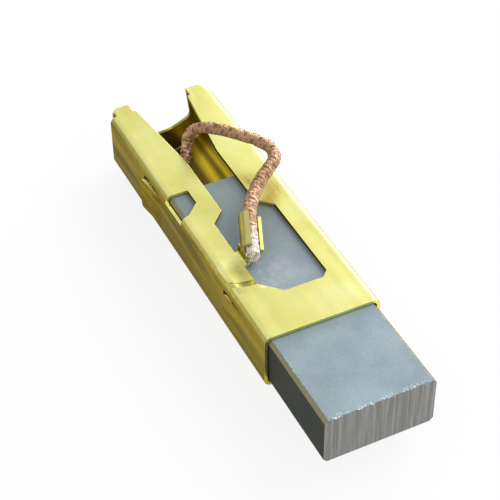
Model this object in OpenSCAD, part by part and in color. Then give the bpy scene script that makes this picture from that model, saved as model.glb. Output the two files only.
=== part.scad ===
/* [Carbon] */
// Width of the carbon block, across the holder
carbon_w = 12.5; // [9:0.1:18]
// Height of the carbon block
carbon_h = 6.0; // [4.6:0.1:10]
// Length of the carbon block
carbon_l = 37.5; // [30:0.5:44]
// Chamfer along the four long edges of the carbon
carbon_chamfer = 0.4; // [0.3:0.05:1]
// How far the carbon stands out of the holder at rest
carbon_out = 12.0; // [6:0.5:20]
// Running gap between the carbon and the holder, on each side
carbon_gap = 0.1; // [0.05:0.01:0.25]

/* [Holder] */
// Length of the holder's side walls
holder_l = 41.5; // [38:0.5:50]
// Thickness of the brass sheet
sheet = 0.4; // [0.3:0.05:0.6]
// Inner radius of the long folds
fold_r = 0.5; // [0.3:0.05:0.6]

/* [Window] */
// Length of the closed band in front of the window
band_l = 5.5; // [3:0.1:8]
// Length of the window at its full width
window_l = 12.9; // [9:0.1:16]
// Width of the window
window_w = 7.5; // [6:0.1:8.2]
// Width of the slot that the shunt leaves through
slot_w = 4.1; // [3.6:0.1:5]
// Corner cut at the front of the window, on the crimp's side
crimp_corner = 2.1; // [1:0.1:3]
// Corner cut at the front of the window, on the plain side
plain_corner = 0.8; // [0.4:0.1:2]
// Length over which the slot flares at the rear
flare_l = 11.5; // [6:0.5:14]
// Width of the slot at its rear end
flare_w = 7.3; // [6:0.1:8]

/* [Lip hole] */
// Distance of the hole's straight edge from the rear of the side walls
lip_hole_x = 16.5; // [12:0.5:18]
// Length of the hole along the lip
lip_hole_l = 4.4; // [3:0.1:5]
// How far the hole reaches in from the outside of the wall
lip_hole_reach = 2.75; // [1.8:0.05:2.9]
// How far the hole reaches down the wall
lip_hole_drop = 1.0; // [0.5:0.1:2]

/* [End flap] */
// Clear distance between the side walls' rear edges and the flap
flap_gap = 1.1; // [0.8:0.05:1.5]
// Gap between the flap's upper edge and the lips that lie over it
flap_lip_gap = 0.05; // [0.02:0.01:0.2]
// Gap between the flap and the inside of each side wall
flap_side_gap = 0.45; // [0.2:0.05:0.8]
// Outer radius of the fold between the floor and the flap
flap_fold_r = 0.8; // [0.65:0.05:1.2]
// Height of the lowest point of the flap's notch above the floor's underside
notch_z = 1.5; // [1:0.1:3]
// Depth of the trough in the rear floor
trough_d = 2.2; // [1:0.1:3]
// Length of the trough, from the side walls' rear edges
trough_l = 19.9; // [14:0.1:20]

/* [Barbs] */
// Length of each barb
barb_l = 4.3; // [3:0.1:5.5]
// Height of each barb
barb_h = 4.2; // [2.4:0.1:4.4]
// Radius of a barb's free corners
barb_r = 0.4; // [0.2:0.05:0.8]
// How far the rear barb's free end stands out of the wall
rear_barb_lift = 0.6; // [0.4:0.1:1.6]
// How far the front barb's free end stands out of the wall
front_barb_lift = 0.2; // [0.1:0.1:1.6]
// Distance of the rear barb's root from the rear of the side wall
rear_barb_x = 14.7; // [12:0.1:16]
// Distance of the front barb's root from the front of the holder
front_barb_x = 5.2; // [3:0.1:8]
// Gap that the punch leaves along each side of a barb
barb_slit = 0.15; // [0.1:0.05:0.3]
// Gap that the punch leaves at a barb's free end
barb_tip_gap = 0.3; // [0.2:0.05:1]

/* [Crimp] */
// Length of the crimp barrel
crimp_l = 4.4; // [3:0.1:6]
// Distance from the window's front edge to the middle of the barrel
crimp_x = 8.2; // [7:0.1:10]
// Distance of the barrel's middle from the window's edge
crimp_y = 2.25; // [1.6:0.05:2.6]
// Clear height under the middle of the barrel, above the sheet
crimp_rise = 0.25; // [0.1:0.05:0.6]
// Turn of the barrel away from the holder's long axis
crimp_turn = -22; // [-25:1:0]
// Dip of the barrel towards the front
crimp_dip = 13; // [0:1:15]
// Width of the neck that carries the barrel
neck_w = 2.4; // [1.6:0.1:3]
// Inner radius of the fold at the foot of the neck
neck_fold_r = 0.3; // [0.2:0.05:0.5]

/* [Shunt] */
// Diameter of the braided copper shunt
shunt_d = 1.7; // [1.2:0.1:2]
// Diameter of the tamped copper plug in the carbon
plug_d = 3.2; // [2.4:0.1:3.8]
// Depth of the tamped copper plug
plug_l = 5.0; // [3:0.5:8]
// Distance of the plug from the carbon's middle plane
plug_y = 3.2; // [1:0.1:3.4]

/* [Hidden] */
$fn = 48;
eps = 0.02;

holder_w = carbon_w + 2 * carbon_gap + 2 * sheet;
holder_h = carbon_h + 2 * carbon_gap + 2 * sheet;
fold_out = fold_r + sheet;
rear = -holder_l / 2;
front = holder_l / 2;
roof = holder_h - sheet;
carbon_front = front + carbon_out;
carbon_rear = carbon_front - carbon_l;
carbon_z = holder_h / 2;

window_front = front - band_l;
window_rear = window_front - window_l;
step = (window_w - slot_w) / 2;

flap_in = rear - flap_gap;
flap_out = flap_in - sheet;
flap_w = holder_w - 2 * sheet - 2 * flap_side_gap;
flap_top = roof - flap_lip_gap;
trough_r = (pow(flap_w / 2, 2) + pow(trough_d, 2)) / (2 * trough_d);
trough_z = trough_r - trough_d;
trough_end = rear + trough_l - flap_w / 2;
notch_w = flare_w;
notch_flare = 0.55;
notch_corner = 0.9;

crimp_in = shunt_d / 2;
crimp_out = crimp_in + sheet;
crimp_mid = [
    window_front - crimp_x,
    -window_w / 2 + crimp_y,
    holder_h + crimp_rise + crimp_out
];
crimp_way = [cos(crimp_dip) * cos(crimp_turn), cos(crimp_dip) * sin(crimp_turn), -sin(crimp_dip)];

// Middle line of the shunt, from the plug in the carbon through the slot and over the side,
// back to the crimp's barrel and a little way out of its front
SHUNT = [
    [carbon_rear, -plug_y, carbon_z],
    [-6.0, -3.2, 3.5],
    [-7.3, -3.2, 3.6],
    [-8.6, -2.9, 4.1],
    [-9.9, -2.1, 5.1],
    [-10.8, -1.3, 6.3],
    [-11.2, -0.9, 7.6],
    [-11.1, -0.6, 8.9],
    [-10.5, 0.0, 10.0],
    [-9.4, 1.0, 10.6],
    [-8.0, 2.4, 10.7],
    [-6.4, 4.0, 10.5],
    [-4.9, 5.4, 10.2],
    [-3.4, 6.2, 9.9],
    [-1.9, 5.8, 9.7],
    [-0.8, 4.5, 9.5],
    [0.4, 3.0, 9.4],
    [1.8, 1.6, 9.3],
    [3.3, 0.4, 9.3],
    crimp_mid - crimp_way * (crimp_l / 2 + 0.3),
    crimp_mid + crimp_way * (crimp_l / 2 + 0.9)
];

function unit(v) = v / norm(v);

// Points that round the corner at b between the sides to a and c
function corner(a, b, c, r, n) =
    let (u = unit(a - b), v = unit(c - b), half = acos(u * v) / 2)
    let (o = b + unit(u + v) * r / sin(half), s = b + u * r / tan(half) - o)
    let (turn = (u.x * v.y - u.y * v.x) > 0 ? -(180 - 2 * half) : 180 - 2 * half)
    [for (i = [0:n]) let (k = turn * i / n)
        o + [s.x * cos(k) - s.y * sin(k), s.x * sin(k) + s.y * cos(k)]];

// A closed outline from corners given as [x, y, radius]
function outline(p) =
    let (n = len(p), at = function (i) [p[i].x, p[i].y])
    [for (i = [0:n - 1])
        each p[i][2] == 0 ? [at(i)]
            : corner(at((i + n - 1) % n), at(i), at((i + 1) % n), p[i][2], 6)];

module rounded_rect(w, h, r) {
    translate([-w / 2, r]) square([w, h - 2 * r]);
    translate([-w / 2 + r, 0]) square([w - 2 * r, h]);
    for (x = [-w / 2 + r, w / 2 - r])
        for (y = [r, h - r])
            translate([x, y]) circle(r);
}

// Runs a cross-section along the holder, from x0 over a length l
module along_x(x0, l) {
    translate([x0, 0, 0]) rotate([90, 0, 90]) linear_extrude(l) children();
}

// Cuts a plan outline through everything between two heights
module plan_cut(z0, z1) {
    translate([0, 0, z0]) linear_extrude(z1 - z0) children();
}

// The four folded sides of the sheet, with the lips drawn out over the flap
module channel() {
    lip_y = holder_w / 2 - fold_out;
    difference() {
        along_x(flap_out, front - flap_out) rounded_rect(holder_w, holder_h, fold_out);
        along_x(flap_out - 1, front - flap_out + 2)
            translate([0, sheet]) rounded_rect(holder_w - 2 * sheet, holder_h - 2 * sheet, fold_r);
        translate([flap_out - 1, -holder_w, -1]) cube([rear - flap_out + 1, 2 * holder_w, roof + 1]);
        for (side = [-1, 1])
            plan_cut(roof - 1, holder_h + 1) polygon([
                [flap_out - 1, side * (lip_y - 1.4)],
                [flap_out + 0.4, side * lip_y],
                [rear, side * lip_y],
                [rear, side * (holder_w / 2 + 1)],
                [flap_out - 1, side * (holder_w / 2 + 1)]
            ]);
    }
}

// Window, slot and flared rear mouth, as one outline in the top of the sheet
module window() {
    w = window_w / 2;
    s = slot_w / 2;
    f = flare_w / 2;
    r = 0.3;
    polygon(outline([
        [window_front, -w + crimp_corner, r],
        [window_front, w - plain_corner, r],
        [window_front - plain_corner, w, r],
        [window_rear, w, r],
        [window_rear - step, s, r],
        [rear + flare_l, s, 8],
        [flap_out - 0.5, f, 0],
        [flap_out - 0.5, -f, 0],
        [rear + flare_l, -s, 8],
        [window_rear - step, -s, r],
        [window_rear, -w, r],
        [window_front - crimp_corner, -w, r]
    ]));
}

// Five-sided hole across the long fold on the crimp's side
module lip_hole() {
    y0 = -holder_w / 2 - 1;
    y1 = -holder_w / 2 + lip_hole_reach;
    x0 = rear + lip_hole_x;
    polygon(outline([
        [x0, y0, 0],
        [x0, y1, 0.2],
        [x0 + lip_hole_l * 0.55, y1, 0.2],
        [x0 + lip_hole_l * 0.92, y1 - lip_hole_reach * 0.6, 0.2],
        [x0 + lip_hole_l, y0, 0]
    ]));
}

// Places a revolved shape on the trough's axis, which runs along the holder
module on_trough_axis() {
    translate([0, 0, trough_z]) rotate([0, 90, 0]) children();
}

// Section of trough, fold and flap, as [distance from the trough's axis, place along it]
module trough_section() {
    r = flap_fold_r;
    difference() {
        union() {
            translate([0, flap_out]) square([trough_r - r, sheet]);
            translate([trough_r - sheet, flap_out + r]) square([sheet, trough_end - flap_out - r]);
            intersection() {
                translate([trough_r - r, flap_out + r]) circle(r);
                translate([trough_r - r, flap_out]) square(r);
            }
        }
        translate([trough_r - r, flap_out + r]) circle(r - sheet);
    }
}

// Trough in the rear floor, its rounded front end and the flap that closes it
module trough_and_flap() {
    intersection() {
        on_trough_axis() rotate_extrude($fn = 96) trough_section();
        translate([flap_out - 1, -flap_w / 2, -trough_d - 1])
            cube([trough_end - flap_out + 1, flap_w, flap_top + trough_d + 1]);
    }
    intersection() {
        translate([trough_end, 0, trough_z]) difference() {
            sphere(trough_r, $fn = 96);
            sphere(trough_r - sheet, $fn = 96);
        }
        translate([trough_end, -flap_w / 2, -trough_d - 1]) cube([flap_w, flap_w, trough_d + 1 + sheet]);
    }
}

// What the trough takes out of the flat floor
module trough_cut() {
    intersection() {
        union() {
            on_trough_axis() translate([0, 0, rear - 1])
                cylinder(trough_end - rear + 1, r = trough_r - sheet, $fn = 96);
            translate([trough_end, 0, trough_z]) sphere(trough_r - sheet, $fn = 96);
        }
        translate([rear - 1, -flap_w / 2, -1]) cube([trough_l + 2, flap_w, sheet + 1]);
    }
}

// Notch in the flap's upper edge, seen along the holder
module notch() {
    w = notch_w / 2;
    polygon(outline([
        [-w, holder_h + 1, 0],
        [-w - notch_flare, notch_z + 1.5, notch_corner],
        [0, notch_z - 0.55, 6],
        [w + notch_flare, notch_z + 1.5, notch_corner],
        [w, holder_h + 1, 0]
    ]));
}

// Outline of a barb on the wall, its root at the origin and its free end to the rear
module barb_outline(l, h, r) {
    translate([-l + r, -h / 2]) square([l - r, h]);
    translate([-l, -h / 2 + r]) square([l, h - 2 * r]);
    for (y = [-h / 2 + r, h / 2 - r])
        translate([-l + r, y]) circle(r);
}

// Moves a wall feature to its place on the barbed side wall
module on_wall(x) {
    translate([x, -holder_w / 2, holder_h / 2]) children();
}

module barb_hole(x) {
    on_wall(x) rotate([90, 0, 0]) translate([0, 0, -sheet - 1]) linear_extrude(sheet + 2)
        barb_outline(barb_l + barb_tip_gap, barb_h + 2 * barb_slit, barb_r + barb_slit);
}

// A tongue lanced out of the wall, straight from its root to its free end
module barb(x, lift) {
    tilt = asin(lift / barb_l);
    on_wall(x) intersection() {
        translate([0, 0, -barb_h]) linear_extrude(2 * barb_h) polygon([
            [eps, 0],
            [eps, sheet],
            [-barb_l * cos(tilt) + sheet * sin(tilt), -lift + sheet * cos(tilt)],
            [-barb_l * cos(tilt), -lift]
        ]);
        rotate([90, 0, 0]) translate([0, 0, -sheet - 1]) linear_extrude(lift + sheet + 2) {
            barb_outline(barb_l * cos(tilt), barb_h, barb_r);
            translate([0, -barb_h / 2]) square([1, barb_h]);
        }
    }
}

// Runs a cross-section along the crimp's barrel, over a length l about its middle
module along_crimp(l) {
    translate(crimp_mid) rotate([0, crimp_dip, crimp_turn]) along_x(-l / 2, l) children();
}

// Section of the neck: out from the window's edge and folded up to the barrel's side
module neck_section(out, rise) {
    r = neck_fold_r;
    difference() {
        translate([-out, 0]) square([out + sheet, r + sheet]);
        translate([-out - eps, sheet]) square([out + eps - r, r + sheet]);
        translate([-r, r + sheet]) circle(r);
        difference() {
            translate([-r, -eps]) square([2 * r + 1, r + sheet + eps]);
            translate([-r, r + sheet]) circle(r + sheet);
        }
    }
    translate([0, r + sheet]) square([sheet, rise - r - sheet]);
}

// Neck and barrel that hold the end of the shunt; the barrel is open along its top
module crimp() {
    neck_y = crimp_mid.y - crimp_out - 0.6;
    neck_out = neck_y + window_w / 2 + 0.3;
    neck_x = crimp_mid.x + crimp_l / 2 - neck_w * 0.7;
    difference() {
        union() {
            translate([neck_x, neck_y, roof]) rotate([90, 0, 90]) linear_extrude(neck_w)
                neck_section(max(neck_out, neck_fold_r), crimp_mid.z - roof - 0.4);
            along_crimp(crimp_l) circle(crimp_out);
        }
        along_crimp(crimp_l + 1) {
            circle(crimp_in);
            polygon([[0, 0], [3, -0.5], [3, 4], [-0.5, 4]]);
        }
    }
}

module holder() {
    color([0.80, 0.72, 0.30]) {
        difference() {
            union() {
                difference() {
                    channel();
                    trough_cut();
                }
                trough_and_flap();
            }
            plan_cut(roof - 0.3, holder_h + 1) window();
            plan_cut(holder_h - lip_hole_drop, holder_h + 1) lip_hole();
            along_x(flap_out - 1, flap_gap + sheet + 1) notch();
            barb_hole(rear + rear_barb_x);
            barb_hole(front - front_barb_x);
        }
        barb(rear + rear_barb_x, rear_barb_lift);
        barb(front - front_barb_x, front_barb_lift);
        crimp();
    }
}

module carbon() {
    w = carbon_w / 2;
    h = carbon_h / 2;
    c = carbon_chamfer;
    color([0.33, 0.37, 0.39]) difference() {
        translate([0, 0, carbon_z]) along_x(carbon_rear, carbon_l) polygon([
            [-w + c, -h],
            [w - c, -h],
            [w, -h + c],
            [w, h - c],
            [w - c, h],
            [-w + c, h],
            [-w, h - c],
            [-w, -h + c]
        ]);
        translate([carbon_rear - 1, -plug_y, carbon_z]) rotate([0, 90, 0]) cylinder(plug_l + 1, d = plug_d);
    }
}

// Copper powder tamped round the end of the shunt
module shunt_plug() {
    color([0.66, 0.42, 0.30])
        translate([carbon_rear, -plug_y, carbon_z]) rotate([0, 90, 0]) cylinder(plug_l, d = plug_d);
}

// A point on the curve through a list of points, t of the way from point i to the next
function between(p, i, t) =
    let (a = p[max(i - 1, 0)], b = p[i], c = p[i + 1], d = p[min(i + 2, len(p) - 1)])
    b + (c - a) * t / 2 + (2 * a - 5 * b + 4 * c - d) * t * t / 2
        + (3 * b - a - 3 * c + d) * t * t * t / 2;

// The same curve as a finer list, with n steps between each pair of points
function smooth(p, n) =
    [for (i = [0:len(p) - 2]) for (k = [0:n - 1]) between(p, i, k / n), p[len(p) - 1]];

// Direction of the tube at each of its points
function heading(p, i) = unit(p[min(i + 1, len(p) - 1)] - p[max(i - 1, 0)]);

// Sideways direction at each point, carried along the tube without twist
function sideways(p, i) =
    let (t = heading(p, i), a = i == 0 ? [0, 1, 0] : sideways(p, i - 1))
    unit(a - t * (a * t));

// One ring of the tube, square to its heading
function ring(p, i, r, n) =
    let (a = sideways(p, i), b = cross(heading(p, i), a))
    [for (k = [0:n - 1]) let (q = 360 * (k + 0.5) / n) p[i] + r * (a * cos(q) + b * sin(q))];

module tube(p, d, n) {
    m = len(p);
    points = [for (i = [0:m - 1]) each ring(p, i, d / 2, n)];
    sides = [for (i = [0:m - 2]) for (k = [0:n - 1])
        let (a = i * n + k, b = i * n + (k + 1) % n) each [[a, b + n, b], [a, a + n, b + n]]];
    ends = [[for (k = [0:n - 1]) k], [for (k = [n - 1:-1:0]) (m - 1) * n + k]];
    polyhedron(points, concat(sides, ends));
}

module shunt() {
    color([0.78, 0.50, 0.38]) tube(smooth(SHUNT, 2), shunt_d, 8);
}

holder();
carbon();
shunt_plug();
shunt();
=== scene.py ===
import math
import random
from bisect import bisect_right

import bmesh
import bpy
from mathutils import Matrix, Vector


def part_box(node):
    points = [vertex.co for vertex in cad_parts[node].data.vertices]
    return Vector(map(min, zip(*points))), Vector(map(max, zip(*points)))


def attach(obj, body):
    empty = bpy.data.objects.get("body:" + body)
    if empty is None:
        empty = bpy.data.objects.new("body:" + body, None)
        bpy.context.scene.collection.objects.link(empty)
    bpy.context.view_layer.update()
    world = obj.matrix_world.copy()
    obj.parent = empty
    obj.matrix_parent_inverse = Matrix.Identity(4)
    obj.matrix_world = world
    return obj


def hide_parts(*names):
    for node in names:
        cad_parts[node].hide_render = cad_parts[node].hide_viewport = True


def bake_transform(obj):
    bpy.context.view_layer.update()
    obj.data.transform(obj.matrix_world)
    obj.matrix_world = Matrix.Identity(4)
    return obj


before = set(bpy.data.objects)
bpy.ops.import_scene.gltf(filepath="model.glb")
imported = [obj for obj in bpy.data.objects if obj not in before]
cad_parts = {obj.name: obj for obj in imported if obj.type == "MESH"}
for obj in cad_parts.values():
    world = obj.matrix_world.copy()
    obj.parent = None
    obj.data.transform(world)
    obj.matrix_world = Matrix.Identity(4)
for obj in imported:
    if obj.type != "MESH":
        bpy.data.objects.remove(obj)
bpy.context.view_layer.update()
MM = 0.001

holder_lo, holder_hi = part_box("holder")
carbon_lo, carbon_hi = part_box("carbon")

# Places in millimetres, in the shared frame.
DENT = (10.2, -4.6, 7.0)  # in the near lip, at the root of the crimp's neck
CREASE = (8.6, -4.0, 7.0)  # middle of the arc that ends the dent
RUBBED = (12.4, -1.6, 6.3)  # on the carbon, below the crimp
TINNED_GLINT = (9.4, -2.5, 7.9)  # middle of the shunt's tinned end, which also carries a painted highlight


# ---------------------------------------------------------------- camera

def look_from(place, target, lens, roll):
    """A camera at a place, aimed at a point and rolled about its own axis."""
    data = bpy.data.cameras.new("camera")
    data.lens = lens
    data.sensor_width = 36
    data.clip_start, data.clip_end = 0.005, 5
    cam = bpy.data.objects.new("camera", data)
    bpy.context.scene.collection.objects.link(cam)
    aim = (target - place).to_track_quat("-Z", "Y").to_matrix()
    cam.matrix_world = Matrix.Translation(place) @ (aim @ Matrix.Rotation(roll, 3, "Z")).to_4x4()
    bpy.context.scene.camera = cam


look_from(
    Vector((112.2, -51.6, 111.2)) * MM,
    Vector((4.4, -0.4, 3.4)) * MM,
    lens=104,
    roll=math.radians(-0.9),
)


# ---------------------------------------------------------------- materials

class Shader:
    """A node material with its Principled shader, built up with small helpers."""

    def __init__(self, name, **values):
        self.mat = bpy.data.materials.new(name)
        self.mat.use_nodes = True
        self.tree = self.mat.node_tree
        self.bsdf = self.tree.nodes["Principled BSDF"]
        for key, value in values.items():
            self.bsdf.inputs[key.replace("_", " ")].default_value = value
        self.place = self.node("ShaderNodeTexCoord").outputs["Object"]

    def node(self, kind, **values):
        n = self.tree.nodes.new(kind)
        for key, value in values.items():
            setattr(n, key, value)
        return n

    def link(self, a, b):
        self.tree.links.new(a, b)

    def stretched(self, scale):
        """Object coordinates, scaled by axis."""
        m = self.node("ShaderNodeMapping")
        m.inputs["Scale"].default_value = scale
        self.link(self.place, m.inputs["Vector"])
        return m.outputs["Vector"]

    def noise(self, scale, detail=4.0, rough=0.55, vector=None, distort=0.0):
        n = self.node("ShaderNodeTexNoise")
        n.inputs["Scale"].default_value = scale
        n.inputs["Detail"].default_value = detail
        n.inputs["Roughness"].default_value = rough
        n.inputs["Distortion"].default_value = distort
        self.link(vector or self.place, n.inputs["Vector"])
        return n.outputs["Fac"]

    def cells(self, scale):
        n = self.node("ShaderNodeTexVoronoi")
        n.inputs["Scale"].default_value = scale
        self.link(self.place, n.inputs["Vector"])
        return n.outputs["Distance"]

    def ramp(self, fac, *stops):
        """A colour ramp; each stop is a place and a grey or a colour."""
        n = self.node("ShaderNodeValToRGB")
        ramp = n.color_ramp
        while len(ramp.elements) < len(stops):
            ramp.elements.new(0.5)
        for e, (at, c) in zip(ramp.elements, stops):
            e.position = at
            e.color = (c, c, c, 1) if isinstance(c, (int, float)) else (*c, 1)
        self.link(fac, n.inputs["Fac"])
        return n.outputs["Color"]

    def mix(self, fac, a, b, blend="MIX"):
        n = self.node("ShaderNodeMix", data_type="RGBA", blend_type=blend)
        for socket, value in ((n.inputs["Factor"], fac), (n.inputs["A"], a), (n.inputs["B"], b)):
            if hasattr(value, "is_linked"):
                self.link(value, socket)
            elif isinstance(value, (int, float)) and socket.name != "Factor":
                socket.default_value = (value, value, value, 1)
            else:
                socket.default_value = (*value, 1) if isinstance(value, tuple) else value
        return n.outputs["Result"]

    def maths(self, op, a, b=0.0, clamp=False):
        n = self.node("ShaderNodeMath", operation=op, use_clamp=clamp)
        for socket, value in zip(n.inputs, (a, b)):
            if hasattr(value, "is_linked"):
                self.link(value, socket)
            else:
                socket.default_value = value
        return n.outputs["Value"]

    def axis(self, name):
        """One coordinate of the object, in metres."""
        n = self.node("ShaderNodeSeparateXYZ")
        self.link(self.place, n.inputs["Vector"])
        return n.outputs[name]

    def facing(self, name):
        """How far the surface faces along one axis of the world, from -1 to 1."""
        n = self.node("ShaderNodeSeparateXYZ")
        self.link(self.node("ShaderNodeNewGeometry").outputs["Normal"], n.inputs["Vector"])
        return n.outputs[name]

    def away(self, place, reach):
        """Distance from a place on the object, as a share of a reach in millimetres."""
        apart = self.node("ShaderNodeVectorMath", operation="DISTANCE")
        self.link(self.place, apart.inputs[0])
        apart.inputs[1].default_value = Vector(place) * MM
        return self.maths("DIVIDE", apart.outputs["Value"], reach * MM)

    def bump(self, height, depth, strength=1.0, below=None, soft=None):
        """A relief over the one below it, or over edges rounded to a soft radius."""
        n = self.node("ShaderNodeBump")
        n.inputs["Strength"].default_value = strength
        n.inputs["Distance"].default_value = depth
        self.link(height, n.inputs["Height"])
        if below is not None:
            self.link(below, n.inputs["Normal"])
        elif soft:
            b = self.node("ShaderNodeBevel", samples=4)
            b.inputs["Radius"].default_value = soft
            self.link(b.outputs["Normal"], n.inputs["Normal"])
        return n.outputs["Normal"]

    def set(self, name, value):
        self.link(value, self.bsdf.inputs[name])


def brass():
    """Rolled brass strip, greenish yellow on top, with painted shade that darkens its sides and inside."""
    s = Shader("brass_sheet", Metallic=1.0, Specular_Tint=(0.72, 0.66, 0.47, 1.0))
    cloud = s.noise(190, 3, 0.5)
    rolling = s.noise(1500, 3, 0.6, s.stretched((0.035, 1, 1)))
    drawn = s.noise(1100, 3, 0.6, s.stretched((1, 0.3, 0.12)))
    band = s.noise(420, 1, 0.4, s.stretched((0.03, 1, 0.4)))
    speck = s.ramp(s.cells(1700), (0.0, 1.0), (0.12, 1.0), (0.18, 0.0))
    stain = s.ramp(s.noise(420, 6, 0.7, distort=0.6), (0.58, 0.0), (0.72, 1.0))

    # painted shade: the sheet's walls, its underside and its inside are darkened where less light falls
    side = s.ramp(s.maths("ABSOLUTE", s.facing("Y")), (0.55, 0.0), (0.97, 1.0))
    under = s.ramp(s.maths("MULTIPLY", s.facing("Z"), -1.0), (0.1, 0.0), (0.6, 1.0))
    height = s.maths("DIVIDE", s.axis("Z"), holder_hi.z)
    low = s.ramp(height, (0.0, 1.0), (0.10, 1.0), (0.52, 0.0))
    inner_wall = s.maths("MULTIPLY", s.maths("ABSOLUTE", s.facing("X")), low)
    hidden = s.maths("MAXIMUM", side, under)
    painted_shade_mask = s.maths("MAXIMUM", hidden, s.maths("MAXIMUM", low, inner_wall), clamp=True)

    # tones: a lit pale tone on the top, painted shade with painted reflection bands inside, and painted shade
    # on the outside of the walls
    pale = s.ramp(cloud, (0.30, (0.84, 0.79, 0.24)), (0.55, (0.90, 0.88, 0.32)), (0.75, (0.94, 0.94, 0.42)))
    # the bright and dark bands of the inside shade are painted reflections of the slot, the lips and the
    # walls
    shade = s.ramp(
        band, (0.37, (0.09, 0.055, 0.004)), (0.50, (0.70, 0.51, 0.018)), (0.61, (0.15, 0.095, 0.006))
    )
    # end faces inside take an even mid tone of the painted shade
    ends = s.ramp(s.maths("ABSOLUTE", s.facing("X")), (0.4, 0.0), (0.9, 0.85))
    shade = s.mix(ends, shade, (0.44, 0.35, 0.045))
    along = s.maths("DIVIDE", s.maths("SUBTRACT", s.axis("X"), holder_lo.x), holder_hi.x - holder_lo.x)
    outer = s.ramp(s.maths("DIVIDE", s.maths("ABSOLUTE", s.axis("Y")), holder_hi.y), (0.86, 0.0), (0.90, 1.0))
    streak = s.noise(1000, 2, 0.5, s.stretched((0.045, 1, 0.55)))
    # painted shade on the outside of the walls, streaked along their length
    wall_painted_shade = s.ramp(
        streak, (0.36, (0.070, 0.042, 0.010)), (0.50, (0.32, 0.235, 0.022)), (0.64, (0.16, 0.100, 0.012))
    )
    # painted shade, darker towards the foot of the walls
    foot_painted_shade = s.ramp(height, (0.04, 0.85), (0.42, 0.0))
    # the walls' painted shade lightens towards the front
    wall_painted_shade = s.mix(s.ramp(along, (0.55, 0.0), (1.0, 0.35)), wall_painted_shade, (0.50, 0.42, 0.06))
    wall_painted_shade = s.mix(foot_painted_shade, wall_painted_shade, (0.055, 0.038, 0.010))
    # the painted shade tones take the place of the lit pale tone wherever the painted shade mask reaches
    deep = s.mix(s.maths("MULTIPLY", outer, hidden), shade, wall_painted_shade)
    tone = s.mix(s.maths("MULTIPLY", painted_shade_mask, 0.96), pale, deep)

    # stains, smears, a darker tone on the crimp barrel above the lips, and painted shade in the dent
    smear = s.ramp(drawn, (0.42, 0.0), (0.66, 1.0))
    tone = s.mix(s.maths("MULTIPLY", smear, s.maths("MULTIPLY", side, 0.30)), tone, (0.17, 0.12, 0.012))
    tone = s.mix(s.maths("MULTIPLY", stain, 0.20), tone, (0.50, 0.38, 0.08))
    tone = s.mix(s.maths("MULTIPLY", speck, s.maths("MULTIPLY", stain, 0.5)), tone, (0.24, 0.17, 0.04))
    barrel = s.ramp(s.maths("DIVIDE", s.axis("Z"), 10 * MM), (0.72, 0.0), (0.78, 0.5))
    tone = s.mix(barrel, tone, (0.40, 0.34, 0.11))
    # painted shade in the dent at the neck's root
    dent_painted_shade = s.ramp(s.away(DENT, 3.0), (0.15, 0.65), (0.55, 0.0))
    tone = s.mix(dent_painted_shade, tone, (0.46, 0.40, 0.08))
    s.set("Base Color", tone)

    rough = s.ramp(rolling, (0.3, 0.26), (0.7, 0.36))
    rough = s.mix(s.maths("MULTIPLY", stain, 0.4), rough, 0.46)
    s.set("Roughness", rough)
    lines = s.bump(rolling, 0.004 * MM, 0.5, soft=0.07 * MM)
    marks = s.bump(drawn, 0.012 * MM, 0.35, below=lines)
    soft = s.bump(cloud, 0.03 * MM, 0.3, below=marks)
    s.set("Normal", s.bump(crimp_dent(s), 0.25 * MM, 1.0, below=soft))
    return s.mat


def crimp_dent(s):
    """Height of the shallow dent at the neck's root and of the crease that ends it."""
    basin = s.ramp(s.away(DENT, 3.0), (0.10, 0.0), (0.75, 1.0))
    arc = s.ramp(s.away(CREASE, 8.0), (0.46, 0.0), (0.56, 1.0), (0.68, 0.0))
    front = s.ramp(s.maths("DIVIDE", s.axis("X"), 20 * MM), (0.50, 0.0), (0.58, 1.0))
    return s.maths("ADD", basin, s.maths("MULTIPLY", arc, front))


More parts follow.
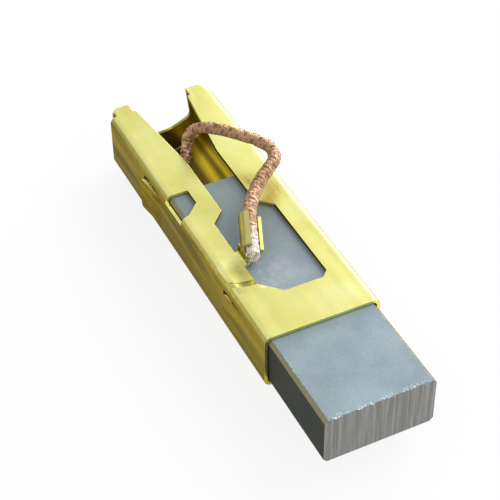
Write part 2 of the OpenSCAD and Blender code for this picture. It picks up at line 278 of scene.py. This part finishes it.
def carbon():
    """Pressed carbon and graphite: cool grey, with painted shade that makes its sides nearly black and its
    rear darker, a painted highlight on its upper chamfers, and sawn lines on its end.
    """
    s = Shader("carbon", Metallic=0.0)
    grain = s.noise(5200, 3, 0.7)
    cloud = s.noise(260, 3, 0.5)
    sparkle = s.ramp(s.cells(4800), (0.0, 1.0), (0.10, 1.0), (0.16, 0.0))
    end = s.ramp(s.maths("ABSOLUTE", s.facing("X")), (0.6, 0.0), (0.9, 1.0))
    side = s.ramp(s.maths("ABSOLUTE", s.facing("Y")), (0.4, 0.0), (0.6, 1.0))
    bevel_painted_highlight = s.maths("MULTIPLY", side, s.ramp(s.facing("Z"), (0.4, 0.0), (0.6, 1.0)))
    sawn = s.noise(3600, 4, 0.7, s.stretched((1, 1, 0.03)))
    tone = s.ramp(cloud, (0.3, (0.24, 0.32, 0.36)), (0.7, (0.33, 0.42, 0.465)))
    tone = s.mix(s.maths("MULTIPLY", sparkle, 0.35), tone, (0.66, 0.74, 0.80))
    # painted shade on the rear of the carbon, under the lips
    rear_painted_shade = s.ramp(s.maths("DIVIDE", s.axis("X"), carbon_hi.x), (0.06, 0.60), (0.50, 0.0))
    tone = s.mix(rear_painted_shade, tone, (0.17, 0.215, 0.19))
    pits = s.ramp(grain, (0.35, 1.0), (0.5, 0.0))
    tone = s.mix(s.maths("MULTIPLY", pits, 0.35), tone, (0.16, 0.20, 0.22))
    lines = s.ramp(
        sawn, (0.36, (0.130, 0.130, 0.112)), (0.52, (0.200, 0.204, 0.186)), (0.68, (0.29, 0.29, 0.275))
    )
    scuffs = s.ramp(s.noise(900, 4, 0.6), (0.42, 0.0), (0.62, 0.55))
    rubbed = s.maths("MULTIPLY", s.ramp(s.away(RUBBED, 5.0), (0.2, 1.0), (0.9, 0.0)), scuffs)
    tone = s.mix(rubbed, tone, (0.46, 0.44, 0.47))
    tone = s.mix(end, tone, lines)
    # painted shade: the sides nearly black
    tone = s.mix(s.maths("MULTIPLY", side, 0.92), tone, (0.028, 0.026, 0.008))
    # painted highlight on the upper chamfers
    tone = s.mix(s.maths("MULTIPLY", bevel_painted_highlight, 0.65), tone, (0.42, 0.40, 0.22))
    s.set("Base Color", tone)
    s.set("Roughness", s.ramp(grain, (0.3, 0.42), (0.7, 0.62)))
    s.set("Specular IOR Level", s.ramp(side, (0.0, 0.5), (1.0, 0.03)))
    fine = s.bump(grain, 0.02 * MM, 0.5, soft=0.05 * MM)
    s.set("Normal", s.bump(s.mix(end, 0.5, sawn), 0.06 * MM, 0.7, below=fine))
    return s.mat


def copper(name, light, dark, rough):
    """Fine copper wire between two tones, pale at its crimped end from tinning and a painted highlight."""
    s = Shader(name, Metallic=1.0)
    tarnish = s.noise(260, 2, 0.5)
    fine = s.noise(7000, 2, 0.6)
    tone = s.mix(s.ramp(tarnish, (0.38, 1.0), (0.66, 0.0)), light, dark)
    # pale near the crimped end: tinning, brightened further as a painted highlight
    near = s.ramp(s.away(TINNED_GLINT, 6.0), (0.25, 0.85), (0.75, 0.0))
    s.set("Base Color", s.mix(near, tone, (0.96, 0.90, 0.80)))
    s.set("Roughness", s.ramp(fine, (0.3, rough), (0.7, rough + 0.16)))
    s.set("Normal", s.bump(fine, 0.01 * MM, 0.4))
    return s.mat


def powder():
    """Copper powder, tamped hard."""
    s = Shader("copper_powder", Metallic=0.8)
    grit = s.cells(6000)
    s.set("Base Color", s.ramp(grit, (0.1, (0.50, 0.25, 0.14)), (0.6, (0.20, 0.10, 0.07))))
    s.set("Roughness", s.ramp(grit, (0.1, 0.45), (0.6, 0.75)))
    s.set("Normal", s.bump(grit, 0.06 * MM, 0.8))
    return s.mat


BRASS = brass()
CARBON = carbon()
WIRE = copper("copper_braid", (0.90, 0.62, 0.41), (0.70, 0.43, 0.25), 0.28)
# the second hand's darker copy of the copper is painted shade
WIRE_SHADED = copper("copper_braid_painted_shade", (0.48, 0.29, 0.17), (0.31, 0.18, 0.10), 0.34)
# near-black copper for the core: painted shade in the braid's gaps
CORE_SHADE = copper("copper_core_painted_shade", (0.20, 0.09, 0.05), (0.09, 0.04, 0.025), 0.55)


def dress(node, mat):
    """Put a material on a CAD node."""
    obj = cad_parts[node]
    for s in obj.material_slots:
        s.link = "OBJECT"
        s.material = mat
    if not obj.material_slots:
        obj.data.materials.append(mat)


dress("holder", BRASS)
dress("carbon", CARBON)
dress("shunt_plug", powder())


# ---------------------------------------------------------------- shunt

# The shunt's middle line from the carbon's rear face to the crimp, in millimetres.
ROUTE = [
    (-4.75, -3.2, 3.5), (-6.0, -3.2, 3.5), (-7.3, -3.2, 3.6), (-8.6, -2.9, 4.1), (-9.9, -2.1, 5.1),
    (-10.8, -1.3, 6.3), (-11.2, -0.9, 7.6), (-11.1, -0.6, 8.9), (-10.5, 0.0, 10.0), (-9.4, 1.0, 10.6),
    (-8.0, 2.4, 10.7), (-6.4, 4.0, 10.5), (-4.9, 5.4, 10.2), (-3.4, 6.2, 9.9), (-1.9, 5.8, 9.7),
    (-0.8, 4.5, 9.5), (0.4, 3.0, 9.4), (1.8, 1.6, 9.3), (3.3, 0.4, 9.3),
]
TURN, DIP = math.radians(-22), math.radians(13)
CRIMP_WAY = Vector((math.cos(DIP) * math.cos(TURN), math.cos(DIP) * math.sin(TURN), -math.sin(DIP)))
CRIMP_MID = Vector((7.05, -1.5, 8.5))
CRIMP_L = 4.4
SHUNT_D = 1.7
route = [Vector(p) for p in ROUTE]
route += [CRIMP_MID - CRIMP_WAY * (CRIMP_L / 2 + 0.3), CRIMP_MID + CRIMP_WAY * (CRIMP_L / 2 + 0.9)]


def through(points, steps):
    """A smooth curve through the points, as a finer list."""
    out = []
    for i in range(len(points) - 1):
        a, b = points[max(i - 1, 0)], points[i]
        c, d = points[i + 1], points[min(i + 2, len(points) - 1)]
        for k in range(steps):
            t = k / steps
            out.append(
                b + (c - a) * t / 2 + (2 * a - 5 * b + 4 * c - d) * t * t / 2
                + (3 * b - a - 3 * c + d) * t ** 3 / 2
            )
    return out + [points[-1]]


class Path:
    """A curve measured by its length, with a frame carried along it without twist."""

    def __init__(self, points):
        self.p = points
        self.s = [0.0]
        for a, b in zip(points, points[1:]):
            self.s.append(self.s[-1] + (b - a).length)
        self.length = self.s[-1]
        self.t, self.n = [], []
        for i in range(len(points)):
            t = (points[min(i + 1, len(points) - 1)] - points[max(i - 1, 0)]).normalized()
            n = Vector((0, 1, 0)) if not self.n else self.n[-1]
            self.t.append(t)
            self.n.append((n - t * n.dot(t)).normalized())

    def at(self, s):
        """Place, direction and two sideways directions at a length along the curve."""
        s = min(max(s, 0.0), self.length)
        i = min(bisect_right(self.s, s) - 1, len(self.s) - 2)
        f = (s - self.s[i]) / max(self.s[i + 1] - self.s[i], 1e-9)
        p = self.p[i].lerp(self.p[i + 1], f)
        t = self.t[i].lerp(self.t[i + 1], f).normalized()
        n = self.n[i].lerp(self.n[i + 1], f)
        n = (n - t * n.dot(t)).normalized()
        return p, t, n, t.cross(n)


def sweep(bm, centres, radius, sides):
    """A round tube along a list of points, closed at both ends."""
    rings = []
    n = Vector((0.3, 0.9, 0.1))
    for i, c in enumerate(centres):
        t = (centres[min(i + 1, len(centres) - 1)] - centres[max(i - 1, 0)]).normalized()
        n = (n - t * n.dot(t)).normalized()
        b = t.cross(n)
        ring = []
        for k in range(sides):
            a = math.tau * k / sides
            ring.append(bm.verts.new((c + (n * math.cos(a) + b * math.sin(a)) * radius) * MM))
        rings.append(ring)
    for r0, r1 in zip(rings, rings[1:]):
        for k in range(sides):
            bm.faces.new((r0[k], r0[(k + 1) % sides], r1[(k + 1) % sides], r1[k]))
    bm.faces.new(list(reversed(rings[0])))
    bm.faces.new(rings[-1])


def piece(name, bm, mat, body=None, smooth=True):
    """A visible piece from a bmesh, with one material, attached to a body when one is given."""
    mesh = bpy.data.meshes.new(name)
    bm.normal_update()
    bm.to_mesh(mesh)
    bm.free()
    for p in mesh.polygons:
        p.use_smooth = smooth
    mesh.materials.append(mat)
    obj = bpy.data.objects.new(name, mesh)
    bpy.context.scene.collection.objects.link(obj)
    if body:
        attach(obj, body)
    return obj


path = Path(through(route, 8))

# Sizes of the braid, in millimetres.
CARRIERS = 6  # bundles of each hand
WIRES = 5  # in each bundle
WIRE_R = 0.052
WIRE_SIDES = 5
BRAID_R = SHUNT_D / 2 - 0.17
CORE_R = BRAID_R - 0.22
PITCH = 5.4  # length of one turn
STEP = 0.22  # length of one segment of a wire
WEAVE = 0.075  # how far a bundle rises and dips where it crosses another
TIP_STRANDS = 90


def swell(share):
    """How full the braid is along its length: drawn thin over the loop, fuller by the crimp."""
    thin = 0.87
    t = min(max((share - 0.45) / 0.3, 0.0), 1.0)
    return thin + (1 - thin) * t * t * (3 - 2 * t)


def braid_path(way, carrier, wire, end):
    """One wire of the braid: a helix that goes over and under those of the other hand."""
    out = []
    steps = int(end / STEP)
    spacing = 2.05 * WIRE_R
    slant = 0.72  # spreads a bundle, because its wires run aslant
    offset = (wire - (WIRES - 1) / 2) * spacing
    for i in range(steps + 1):
        s = end * i / steps
        p, t, n, b = path.at(s)
        turn = s / PITCH + carrier / CARRIERS
        angle = way * math.tau * turn + offset / BRAID_R / slant
        weave = math.sin(math.tau * (s / PITCH * CARRIERS + (0.5 if way > 0 else 0.0) + 0.25))
        weave *= 1 if carrier % 2 == 0 else -1
        r = BRAID_R * swell(s / path.length) + WEAVE * weave
        out.append(p + (n * math.cos(angle) + b * math.sin(angle)) * r)
    return out


def tip_strands(bm, end):
    """Short loose strands at the crimped end."""
    random.seed(7)
    tip, along, n, b = path.at(end)
    for k in range(TIP_STRANDS):
        r = (SHUNT_D / 2 - 0.1) * math.sqrt(random.random())
        a = random.random() * math.tau
        side = n * math.cos(a) + b * math.sin(a)
        base = tip + side * r - along * 0.5
        out = base + along * (0.55 + 0.35 * random.random()) + side * 0.12 * random.random()
        sweep(bm, [base, out], WIRE_R * 0.9, WIRE_SIDES)


def shunt_braid():
    """The wires of both hands, the second hand in a darker tone that is painted shade."""
    bm = bmesh.new()
    counts = []
    for way in (-1, 1):
        for carrier in range(CARRIERS):
            for wire in range(WIRES):
                sweep(bm, braid_path(way, carrier, wire, path.length - 0.05), WIRE_R, WIRE_SIDES)
        counts.append(len(bm.faces))
    tip_strands(bm, path.length)
    obj = piece("shunt_braid", bm, WIRE)
    obj.data.materials.append(WIRE_SHADED)
    for face in obj.data.polygons[counts[0]:counts[1]]:
        face.material_index = 1
    return obj


def shunt_core():
    """A rod that closes the gaps of the braid, dark with painted shade."""
    bm = bmesh.new()
    rings = 120
    sweep(bm, [path.at(path.length * i / rings)[0] for i in range(rings)], CORE_R, 16)
    return piece("shunt_core", bm, CORE_SHADE)


braid = shunt_braid()
inner = shunt_core()
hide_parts("shunt")

# bake the placement of the shunt's pieces into their meshes
for obj in (braid, inner):
    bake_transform(obj)


# ---------------------------------------------------------------- crumbs on the carbon's edges

def crumbs():
    """Small chips along the upper edge of the carbon's end, and a few down its sides, pale with a painted
    highlight.
    """
    bm = bmesh.new()
    rnd = random.Random(3)
    lo, hi = carbon_lo / MM, carbon_hi / MM
    chamfer = 0.4
    spots = []  # a place and a size for each chip
    for k in range(210):
        y = lo.y + chamfer + (hi.y - lo.y - 2 * chamfer) * rnd.random()
        depth = abs(rnd.gauss(0, 0.22))
        down = abs(rnd.gauss(0, 0.06)) if rnd.random() < 0.3 else 0.0
        if math.sin(y * 2.3) + 0.7 * math.sin(y * 5.1 + 1) > rnd.uniform(-1.6, 0.9):
            place = Vector((hi.x - (0 if down else depth), y, hi.z - down))
            spots.append((place, 0.035 + 0.075 * rnd.random() ** 2))
    for k in range(60):
        x = hi.x - 11.5 * rnd.random()
        spots.append((Vector((x, hi.y - chamfer, hi.z)), 0.02 + 0.04 * rnd.random()))
        spots.append((Vector((x - 3, lo.y + chamfer, hi.z)), 0.015 + 0.03 * rnd.random()))

    for place, size in spots:
        ball = bmesh.ops.create_icosphere(bm, subdivisions=1, radius=1.0)
        wide, deep, tall = (size * rnd.uniform(0.7, 1.5) for _ in range(3))
        spin = Matrix.Rotation(rnd.random() * math.tau, 3, "Z")
        for v in ball["verts"]:
            p = Vector((v.co.x * wide, v.co.y * deep, v.co.z * tall * 0.5)) * rnd.uniform(0.8, 1.2)
            v.co = (place + spin @ p) * MM

    s = Shader("carbon_crumbs")
    s.bsdf.inputs["Specular IOR Level"].default_value = 0.5
    # the chips' pale bluish white is a painted highlight on their broken faces
    s.set("Base Color", s.ramp(s.noise(3000, 2), (0.35, (0.50, 0.60, 0.72)), (0.65, (0.80, 0.88, 0.96))))
    s.set("Roughness", s.ramp(s.noise(6000, 2), (0.3, 0.45), (0.7, 0.7)))
    return piece("carbon_crumbs", bm, s.mat, "carbon", smooth=False)


crumbs()


# ---------------------------------------------------------------- floor and light

def stage_floor():
    """A pale floor, near white to camera, glossy and transmission rays, that keeps a soft shadow."""
    reach = 1.5
    level = holder_lo.z - 0.02 * MM
    glow_share = 0.86
    bm = bmesh.new()
    corners = ((-reach, -reach), (reach, -reach), (reach, reach), (-reach, reach))
    bm.faces.new([bm.verts.new((x, y, level)) for x, y in corners])
    mesh = bpy.data.meshes.new("floor")
    bm.to_mesh(mesh)
    bm.free()
    obj = bpy.data.objects.new("floor", mesh)
    bpy.context.scene.collection.objects.link(obj)
    mat = bpy.data.materials.new("floor")
    mat.use_nodes = True
    tree = mat.node_tree
    tree.nodes.clear()
    out = tree.nodes.new("ShaderNodeOutputMaterial")
    diffuse = tree.nodes.new("ShaderNodeBsdfDiffuse")
    diffuse.inputs["Color"].default_value = (0.88, 0.88, 0.88, 1)
    glow = tree.nodes.new("ShaderNodeEmission")
    glow.inputs["Strength"].default_value = 1.0
    ray = tree.nodes.new("ShaderNodeLightPath")
    seen = ray.outputs["Is Camera Ray"]
    for other in ("Is Glossy Ray", "Is Transmission Ray"):
        either = tree.nodes.new("ShaderNodeMath")
        either.operation = "MAXIMUM"
        tree.links.new(seen, either.inputs[0])
        tree.links.new(ray.outputs[other], either.inputs[1])
        seen = either.outputs[0]
    part = tree.nodes.new("ShaderNodeMath")
    part.operation = "MULTIPLY"
    part.inputs[1].default_value = glow_share
    mix = tree.nodes.new("ShaderNodeMixShader")
    tree.links.new(seen, part.inputs[0])
    tree.links.new(part.outputs[0], mix.inputs[0])
    tree.links.new(diffuse.outputs[0], mix.inputs[1])
    tree.links.new(glow.outputs[0], mix.inputs[2])
    tree.links.new(mix.outputs[0], out.inputs["Surface"])
    mesh.materials.append(mat)


def soft_light(name, place, target, size, power):
    """A rectangular lamp aimed at a point; metres and watts."""
    data = bpy.data.lights.new(name, "AREA")
    data.shape = "RECTANGLE"
    data.size, data.size_y = size
    data.energy = power
    obj = bpy.data.objects.new(name, data)
    obj.location = place
    obj.rotation_mode = "QUATERNION"
    obj.rotation_quaternion = (Vector(target) - Vector(place)).to_track_quat("-Z", "Y")
    bpy.context.scene.collection.objects.link(obj)


def sky():
    """A room that is white at the horizon, dim above it and overhead, and pale in between."""
    # how high the ray points, and the grey there
    bands = ((0.0, 0.97), (0.12, 0.97), (0.27, 0.24), (0.58, 0.86), (0.80, 0.86), (1.0, 0.50))
    blue = 1.02
    world = bpy.data.worlds.new("room")
    bpy.context.scene.world = world
    world.use_nodes = True
    tree = world.node_tree
    coord = tree.nodes.new("ShaderNodeTexCoord")
    part = tree.nodes.new("ShaderNodeSeparateXYZ")
    ramp = tree.nodes.new("ShaderNodeValToRGB")
    stops = ramp.color_ramp.elements
    while len(stops) < len(bands):
        stops.new(0.5)
    for stop, (at, grey) in zip(stops, bands):
        stop.position = at
        stop.color = (grey, grey, grey * blue, 1)
    tree.links.new(coord.outputs["Generated"], part.inputs["Vector"])
    tree.links.new(part.outputs["Z"], ramp.inputs["Fac"])
    tree.links.new(ramp.outputs["Color"], tree.nodes["Background"].inputs["Color"])
    tree.nodes["Background"].inputs["Strength"].default_value = 1.0


stage_floor()
sky()
centre = (holder_lo + holder_hi) / 2
soft_light("key", (-0.03, 0.30, 0.34), centre, (0.24, 0.20), 0.65)
soft_light("front", (0.38, 0.10, 0.16), centre, (0.20, 0.12), 0.35)
soft_light("rim", (-0.24, 0.27, 0.10), centre, (0.34, 0.12), 0.75)
bpy.context.scene.view_settings.view_transform = "Standard"
